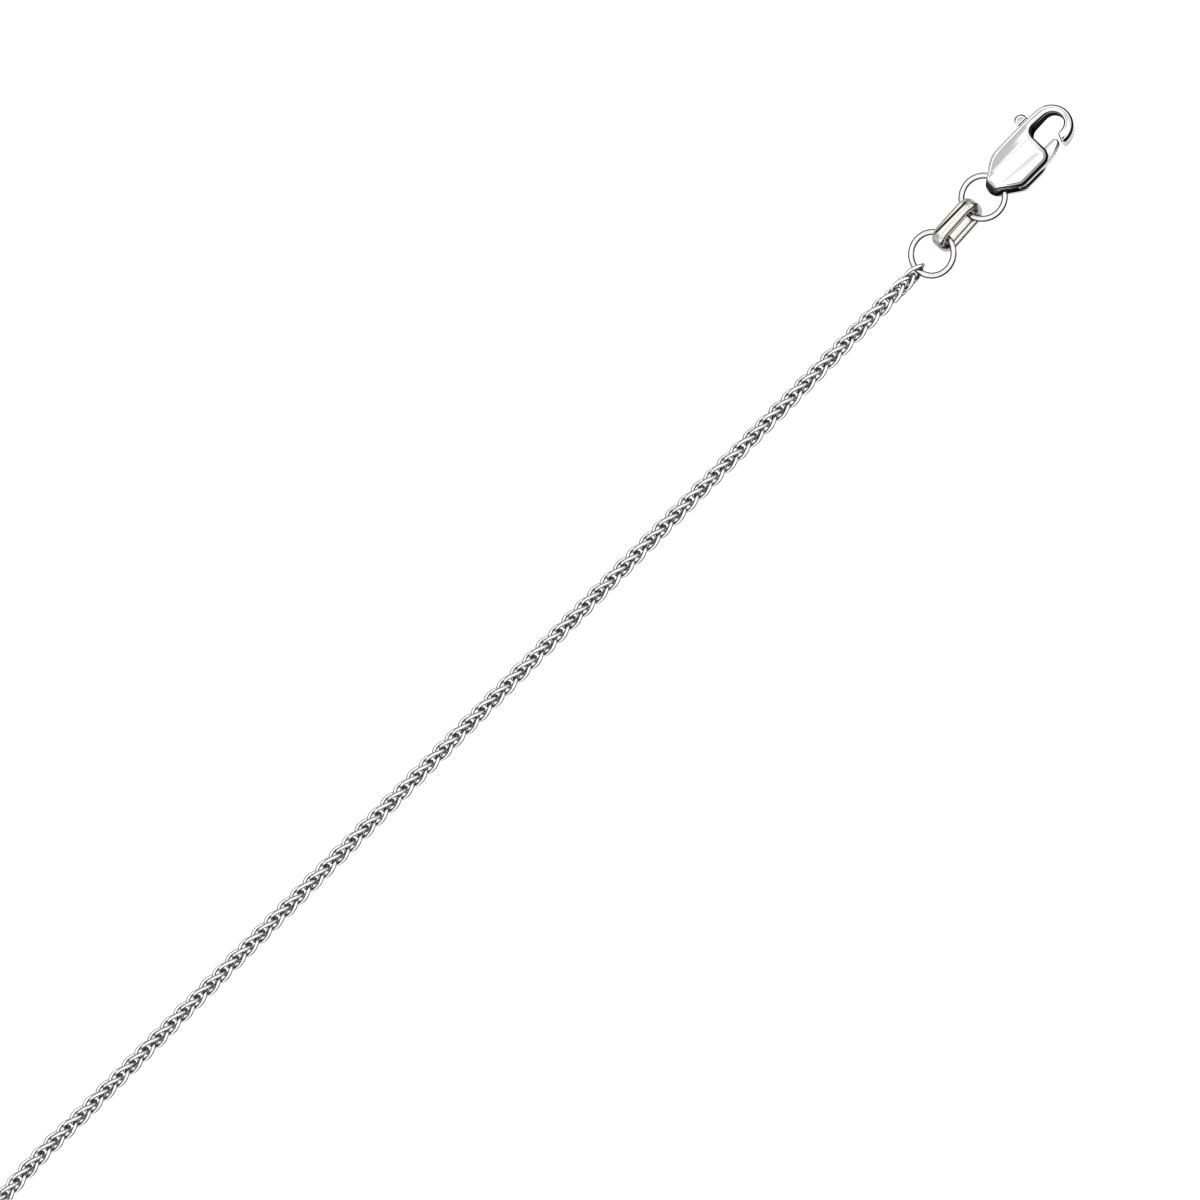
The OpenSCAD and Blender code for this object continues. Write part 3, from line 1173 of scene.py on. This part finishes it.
@dataclass
class LobsterClasp:
    """The clasp: two plates with a slot between them, whose far end is the hook,
    and the lever that closes the hook from inside the slot.

    The plan's origin is the middle of the tail eye. X points to the gate's side
    and Y to the hook.

    Attributes:
        place: The tail eye's middle in the frame.
        lean: How far the plan is tipped about the frame's X, in degrees.
        half_w: Half the housing's width.
        half_t: Half its thickness.
        slot: Half the slot's height.
        painted_underside_shade: How dark the painted shade on the slot's rims is.
        tail_end: Y of the tail's end.
        taper_y: Y at which the tail has the full width.
        tail_half: Half the width of the tail's end.
        tail_r: Radius of the tail, seen from the side.
        tail_inset: Share by which the tail is narrower next to the slot.
        painted_tail_shade: How dark the painted dark reflection on the tail's end is.
        painted_tail_shade_y: Y at which that begins.
        painted_tail_shade_fade: Length over which it would reach 1.
        eye_r: Radius of the eye's bore.
        eye_block_y: Y at which the eye's block ends.
        eye_insets: How far the block stays inside the left and the gate's side.
        eye_steps: Number of sides of the bore.
        shoulder: Y of the shoulder.
        hook_top: Y of the hook's top.
        hook_thin: Share of its thickness that the hook's top lacks.
        mouth: X, Y and radius of the mouth's inside.
        outside: X, Y and radius of the hook's outside.
        crown: How much lower the faces' sides are than their middle.
        upper: Edge of the plate on top.
        lower: Edge of the plate below.
        first_cut: X of the first cut that lets a plate bend across.
        cut_step: Distance to the next one.
        cut_count: Number of such cuts.
        tail_cuts: Y of the cuts that let its tail bend.
        rivet: X and Y of the lever's rivet.
        hub_r: Radius of the lever's hub.
        knob: X and Y of the thumb knob.
        knob_r: Radius of the knob.
        knob_corner: Radius of its corners next to the stem.
        knob_width: How far past its middle those corners turn.
        knob_drop: Height of its rolled edge.
        lever_half: Half the height of the gate and the knob.
        arm_half_width: Half the width of the lever's arm.
        arm_half: Half the arm's height.
    """

    place: tuple[float, float, float] = (60.7756, 57.35, 1.62081)
    lean: float = 19.0
    half_w: float = 1.93
    half_t: float = 1.15
    slot: float = 0.52
    painted_underside_shade: float = 0.9
    tail_end: float = -1.05
    taper_y: float = 1.15
    tail_half: float = 0.35
    tail_r: float = 1.35
    tail_inset: float = 0.06
    painted_tail_shade: float = 0.85
    painted_tail_shade_y: float = -0.42
    painted_tail_shade_fade: float = 0.25
    eye_r: float = 0.5
    eye_block_y: float = 0.9
    eye_insets: tuple[float, float] = (0.1, 0.4)
    eye_steps: int = 32
    shoulder: float = 4.6
    hook_top: float = 8.15
    hook_thin: float = 0.522
    mouth: tuple[float, float, float] = (-0.13, 6.55, 0.95)
    outside: tuple[float, float, float] = (-0.08, 6.3, 1.85)
    crown: float = 0.1
    # The edges' wall and line values are painted dark reflections.
    upper: PlateEdge = PlateEdge(roll=0.72, drop=0.52, corner=0.95, wall=0.15, line=0.95)
    lower: PlateEdge = PlateEdge(roll=0.15, drop=0.15, corner=1.6, wall=1.0, line=0.0)
    first_cut: float = -1.6
    cut_step: float = 0.3
    cut_count: int = 10
    tail_cuts: tuple[float, ...] = (-0.95, -0.85, -0.7, -0.55, -0.4, -0.2, 0.0, 0.3)
    rivet: tuple[float, float] = (0.55, 2.45)
    hub_r: float = 0.8
    knob: tuple[float, float] = (-2.33, 4.97)
    knob_r: float = 0.56
    knob_corner: float = 0.2
    knob_width: float = 0.13
    knob_drop: float = 0.36
    lever_half: float = 0.45
    arm_half_width: float = 0.375
    arm_half: float = 0.36

    @property
    def frame(self) -> Matrix:
        """The plan's place in the frame, in millimetres."""
        return (
            Matrix.Translation(self.place)
            @ Matrix.Rotation(math.radians(-self.lean), 4, "X")
            @ Matrix.Rotation(math.radians(-90), 4, "Z")
        )

    def _half_width(self, y: float) -> float:
        """Half the housing's width at a place along it."""
        share = (y - self.tail_end) / (self.taper_y - self.tail_end)
        return self.tail_half + (self.half_w - self.tail_half) * min(max(share, 0.0), 1.0)

    @staticmethod
    def _left_side(line: float) -> Arc:
        """The left side's curve into the tail, with a painted dark reflection at its foot, a share of
        the line's darkness.
        """
        return Arc(0.47, 1.923, 2.4, 180, 215.7, roll=0.4, shade=0.3 * line)

    def _hook(self, wall: float, line: float = 0.0) -> list[Arc]:
        """The hook's stretches, from the mouth's stem round to the left side.

        Args:
            wall: How dark the painted dark reflection on the mouth's wall is.
            line: How dark the painted dark reflection at the foot of its outer rolled edge is.

        Returns:
            The stretches, anticlockwise.
        """
        return [
            Arc(*self.mouth, 180, 60, roll=0.3, shade=wall),
            Arc(*self.mouth, 51, -4, roll=0.28, shade=max(line, wall * 0.5)),
            Arc(1.079, 6.405, 0.25, 174, 245, roll=0.2),
            Arc(1.578, 6.129, 0.2, 245, 350, roll=0.17),
            Arc(*self.outside, -4, 150, roll=0.3, shade=line),
            Arc(*self.outside, 159, 180, roll=0.3, shade=0.08 * line),
        ]

    def _plate(self, edge: PlateEdge) -> bmesh.types.BMesh:
        """Makes a plate with its hook, over the slot.

        Args:
            edge: Its edge along the gate's side.

        Returns:
            The plate.
        """
        roll, drop, line = edge.roll, edge.drop, edge.line
        corner = (self.half_w - edge.corner, self.shoulder - edge.corner, edge.corner)
        # The stretches' shades paint dark reflections at the feet of the plate's edges and on the
        # mouth's wall.
        outline = Outline(
            [
                Arc(0, self.tail_end + 0.55, 0.55, 215.7, 324.3, roll=0.25, drop=drop),
                Arc(0.93, 1.472, 1.0, -35.7, 0, roll=roll, drop=drop, shade=line),
                Arc(*corner, 0, 90, roll=roll, drop=drop, shade=line),
                Arc(0.1, self.shoulder, roll=0.4, shade=line),
                Arc(-0.32, 5.36, 0.76, 270, 180, roll=0.34, shade=max(edge.wall, line)),
                *self._hook(max(edge.wall, 0.5 * line), max(4 * line, 0.75 * edge.wall)),
                self._left_side(line),
            ]
        )
        plate = outline.solid(self.slot, self.half_t, rolled=True, painted_underside_shade=self.painted_underside_shade)
        cut(plate, 0, [self.first_cut + self.cut_step * step for step in range(self.cut_count)])
        cut(plate, 1, (*self.tail_cuts, self.shoulder))
        self._shape(plate)
        return plate

    def _shape(self, shape: bmesh.types.BMesh) -> None:
        """Crowns a plate, or a part of the core, rounds its tail, paints dark reflection onto its
        tail's end and thins its hook.

        Args:
            shape: What is shaped. It stays flat next to the slot.
        """
        painted_shade = shape.verts.layers.float[PAINTED_SHADE]
        for vert in shape.verts:
            x, y, z = vert.co
            # Painted dark reflection on the tail's end.
            end = (self.painted_tail_shade_y - y) / self.painted_tail_shade_fade
            vert[painted_shade] = max(vert[painted_shade], min(self.painted_tail_shade, end))
            lift = max(0.0, (abs(z) - self.slot) / (self.half_t - self.slot))
            z -= math.copysign(self.crown * (x / self.half_w) ** 2 * lift, z)
            if y < self.tail_end + self.tail_r:
                away = self.tail_end + self.tail_r - y
                most = math.sqrt(max(self.tail_r**2 - away**2, 0.0))
                most *= 1 - self.tail_inset + self.tail_inset * lift
                z = math.copysign(min(abs(z), most), z)
            if y > self.shoulder:
                z *= 1 - self.hook_thin * (y - self.shoulder) / (self.hook_top - self.shoulder)
            vert.co.z = z

    def _body_shapes(self) -> list[bmesh.types.BMesh]:
        """Makes the two plates, the core between them and the eye's block.

        Returns:
            The shapes.
        """
        upper, over = self._plate(self.upper), self._plate(self.lower)
        lower = mirrored(over)
        over.free()
        left = -self.half_w
        spine = Outline(
            [
                Arc(1.58, 0.85),
                Arc(1.84, 1.45),
                Arc(-1.23, 1.45),
                Arc(-1.23, 2.41),
                Arc(left, 2.41),
                self._left_side(0.0),
            ]
        )
        # The core's walls in the mouth carry a full painted dark reflection.
        hook = Outline([Arc(left, 5.32), Arc(-1.08, 5.32, shade=1.0), *self._hook(1.0)])
        core = [part.solid(-self.slot, self.slot) for part in (spine, hook)]
        self._shape(core[1])
        return [upper, lower, *core, self._eye_block()]

    def _eye_block(self) -> bmesh.types.BMesh:
        """Makes the tail's block between the plates, with the eye's bore across it.

        Returns:
            The closed shape.
        """
        shape = bmesh.new()
        tiny = 1e-6
        bmesh.ops.create_circle(shape, segments=self.eye_steps, radius=self.eye_r)
        outer = bmesh.ops.create_circle(shape, segments=self.eye_steps, radius=1.0)["verts"]
        for vert in outer:
            turn = math.atan2(vert.co.y, vert.co.x)
            across, up = math.cos(turn), math.sin(turn)
            far = self.eye_block_y if across > 0 else -self.tail_end
            reach = min(far / max(abs(across), tiny), self.slot / max(abs(up), tiny))
            y, z = reach * across, reach * up
            bend = self.tail_end + self.tail_r - math.sqrt(self.tail_r**2 - z**2)
            vert.co = (max(y, bend), z, 0)
        bmesh.ops.bridge_loops(shape, edges=shape.edges[:])
        grown = bmesh.ops.extrude_face_region(shape, geom=shape.faces[:])["geom"]
        for vert in (item for item in grown if isinstance(item, bmesh.types.BMVert)):
            vert.co.z = 1.0
        for vert in shape.verts:
            y, z, side = vert.co
            half = self._half_width(y) - self.eye_insets[round(side)]
            vert.co = ((2 * side - 1) * half, y, z)
        bmesh.ops.recalc_face_normals(shape, faces=shape.faces)
        return shape

    def _lever_shapes(self) -> list[bmesh.types.BMesh]:
        """Makes the gate with its hub, the arm through the stem and the thumb knob.

        Returns:
            The shapes, an upper and a lower half of each.
        """
        rivet, knob = Vector(self.rivet), Vector(self.knob)
        way = (knob - rivet).normalized()
        side = Vector((-way.y, way.x)) * self.arm_half_width
        # The gate's shade values paint dark reflections at the feet of its tip's edges.
        gate = Outline(
            [
                Arc(*rivet, self.hub_r, 180, 270, roll=0.1, drop=0.14),
                Arc(1.83, 1.5, roll=0.08, drop=0.1),
                Arc(1.84, 3.5, roll=0.08, drop=0.1),
                Arc(1.86, 4.1, roll=0.12, drop=0.14),
                Arc(1.8, 4.7, roll=0.14, drop=0.14),
                Arc(1.12, 5.57, 0.3, 20, 180, roll=0.16, drop=0.2, shade=0.7),
                Arc(0.82, 4.5, roll=0.16, drop=0.14, shade=0.8),
            ]
        )
        corners = [rivet + side, rivet - side, knob - side, knob + side]
        arm = Outline([Arc(*corner, roll=0.1, drop=0.1) for corner in reversed(corners)])
        x, reach = knob.x + self.knob_width, self.knob_r - self.knob_corner
        small, drop = self.knob_corner, self.knob_drop
        # The knob's shade values paint dark reflections at the feet of its edges, as its outline.
        thumb = Outline(
            [
                Arc(x, knob.y + reach, small, 0, 80, roll=0.18, drop=drop, shade=0.9),
                Arc(*knob, self.knob_r, 90, 270, roll=0.34, drop=drop, shade=2.5),
                Arc(x, knob.y - reach, small, 280, 360, roll=0.18, drop=drop),
            ]
        )
        shapes = []
        for part, half in ((gate, self.lever_half), (arm, self.arm_half), (thumb, self.lever_half)):
            upper = part.solid(0.0, half, rolled=True)
            shapes += [upper, mirrored(upper)]
        return shapes

    def build(self, finish: bpy.types.Material) -> None:
        """Makes the body and the lever.

        Args:
            finish: Their material.
        """
        body = piece("clasp_shell", self._body_shapes(), self.frame)
        settle(body, finish, "clasp_body")
        lever = piece("clasp_gate", self._lever_shapes(), self.frame)
        settle(lever, finish, "clasp_lever", Body.LEVER)


@dataclass(frozen=True)
class JumpRing:
    """A round ring of wire.

    Attributes:
        node: The CAD node that it replaces.
        centre: Its middle.
        pitch: Its turn about Y, in degrees.
        lean: Its turn about X, in degrees.
        heading: Its turn about Z, in degrees.
        diameter: Its outer diameter.
        wire: Diameter of its wire.
        ring_steps: Number of sections round the ring.
        wire_steps: Number of sides of a section.
        side_start: Where the wire's sides begin, as for steepness.
        painted_side_shade: How dark the painted dark reflection on the sides is.
    """

    node: str
    centre: tuple[float, float, float]
    pitch: float
    lean: float = 15.0
    heading: float = 0.0
    diameter: float = 4.1
    wire: float = 0.5
    ring_steps: int = 72
    wire_steps: int = 20
    side_start: float = 0.8
    painted_side_shade: float = 0.8

    def build(self, finish: bpy.types.Material) -> None:
        """Makes the ring.

        Args:
            finish: Its material.
        """
        middle = (self.diameter - self.wire) / 2
        shape = wire_ring(middle, self.wire / 2, sides=self.wire_steps, steps=self.ring_steps)
        place = (
            Matrix.Translation(self.centre)
            @ Matrix.Rotation(math.radians(self.heading), 4, "Z")
            @ Matrix.Rotation(math.radians(self.pitch), 4, "Y")
            @ Matrix.Rotation(math.radians(-self.lean), 4, "X")
        )
        painted_shade = shape.verts.layers.float.new(PAINTED_SHADE)
        bmesh.ops.recalc_face_normals(shape, faces=shape.faces)
        shape.normal_update()
        # Painted dark reflection on the wire's steep sides, where the real ring mirrors the dark
        # parts of the room.
        for vert in shape.verts:
            rise = (place.to_3x3() @ vert.normal).z
            vert[painted_shade] = self.painted_side_shade * steepness(rise, self.side_start)
        ring = piece(f"{self.node}_wire", [shape], place)
        settle(ring, finish, self.node)


def main() -> None:
    """Builds every piece in order."""
    logging.basicConfig(level=logging.INFO)
    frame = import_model()
    Studio().build()
    # The chain's metal, with a grey for its painted shade and dark reflections.
    chain_metal = MetalFinish(
        Slot.CHAIN.value, bright=(0.7, 0.7, 0.705), painted_dark=(0.11, 0.11, 0.112), roughness=0.13
    ).make()
    polished = MetalFinish(Slot.POLISHED.value, roughness=0.05, wear=0.04).make()
    # A slightly darker copy of the polished metal, so that the rings read darker: painted shade.
    ring_metal = MetalFinish(
        "ring_metal", bright=(0.56, 0.56, 0.565), roughness=0.05, wear=0.04
    ).make()
    satin = MetalFinish(
        Slot.SATIN.value,
        bright=(0.54, 0.527, 0.508),
        roughness=0.24,
        wear=0.08,
        # The connector's dark edge line is a painted dark reflection.
        line=PaintedDarkLine(middle=(56.0, 58.12), half_length=2.1, half_width=0.13, strength=0.95),
    ).make()
    WheatChain(Route(), PlaitedLink()).build(chain_metal)
    LobsterClasp().build(polished)
    dress(frame["nodes"]["back_end_link"], chain_metal)
    for ring in (
        JumpRing("chain_ring", centre=(52.9266, 57.1, 1.0256), pitch=-10.746),
        JumpRing("clasp_ring", centre=(59.1003, 57.4, 1.491), pitch=-4.135),
        JumpRing(
            "end_ring", centre=(80.8842, 45.2787, 0.47), pitch=7.02, lean=0.0, heading=93.3
        ),
    ):
        ring.build(ring_metal)
    dress(frame["nodes"]["connector_link"], satin)


if __name__ == "__main__":
    main()
